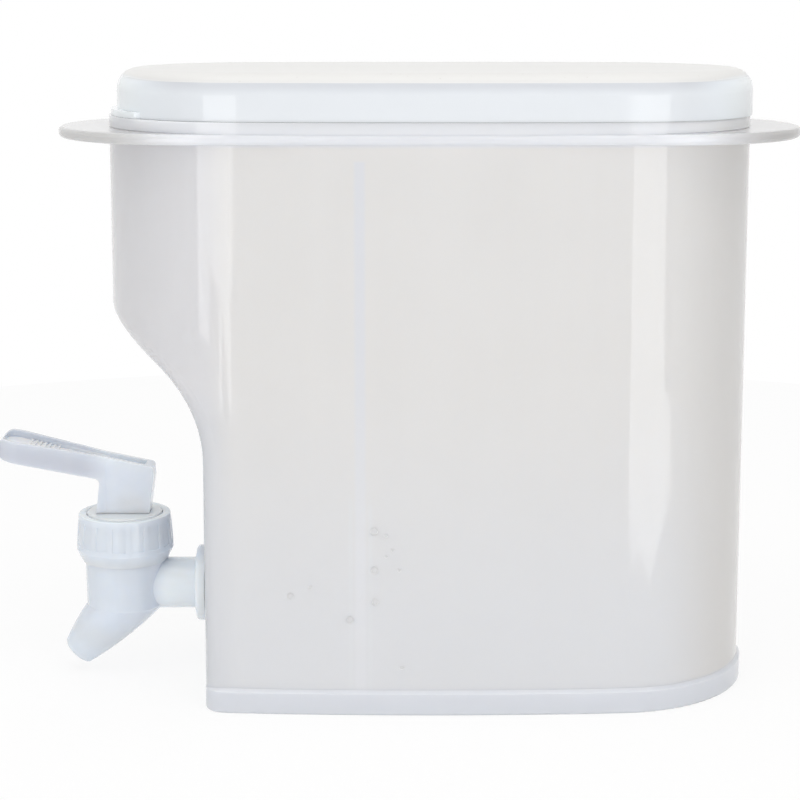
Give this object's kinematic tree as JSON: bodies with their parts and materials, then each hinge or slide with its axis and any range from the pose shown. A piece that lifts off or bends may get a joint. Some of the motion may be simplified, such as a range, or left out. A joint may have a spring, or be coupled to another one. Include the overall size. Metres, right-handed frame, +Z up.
{
  "type": "fridge water jug",
  "caption": "Narrow lidded water jug with carrying flange and a stepped end that holds a lever tap with a spring-closed lift valve.",
  "frame": {"origin": "on the standing plane, under the middle of the tank's rim outline", "axes": "+X away from the tap end along the jug, +Y towards its back long side, +Z up"},
  "size_m": [0.2905, 0.106, 0.2237],
  "materials": {
    "frosted_tank": "frosted translucent, glossy outside",
    "white_plastic": "glossy cold white",
    "seal_rubber": "white silicone",
    "black_seal": "black rubber",
    "spring_steel": "plain wire"
  },
  "bodies": {
    "tank": {"tank": "frosted_tank", "tap_body": "white_plastic", "tap_collar": "white_plastic", "stem_guide": "white_plastic", "stem_seal": "black_seal", "bonnet_seal": "seal_rubber", "outer_washer": "seal_rubber", "inner_washer": "seal_rubber", "lock_nut": "white_plastic", "return_spring": "spring_steel"},
    "lid": {"lid": "white_plastic"},
    "lever": {"lever": "white_plastic"},
    "stem": {"valve_stem": "white_plastic", "valve_plug": "seal_rubber"}
  },
  "joints": [
    {"name": "lid_lift", "type": "slide", "parent": "tank", "child": "lid", "axis": [0, 0, 1], "range_m": [0, 0.03]},
    {"name": "lever_press", "type": "hinge", "parent": "tank", "child": "lever", "pos_m": [-0.1224, 0, 0.0604], "axis": [0, -1, 0], "range_deg": [0, 18], "stiffness_Nm_per_rad": 0.35, "springref_deg": -3.44},
    {"name": "stem_lift", "type": "slide", "parent": "tank", "child": "stem", "axis": [0, 0, 1], "range_m": [0, 0.00339], "deforming": ["return_spring"]}
  ],
  "couplings": [
    {"joint": "lever_press", "follows": "stem_lift", "rad_per_m": 92.59}
  ]
}
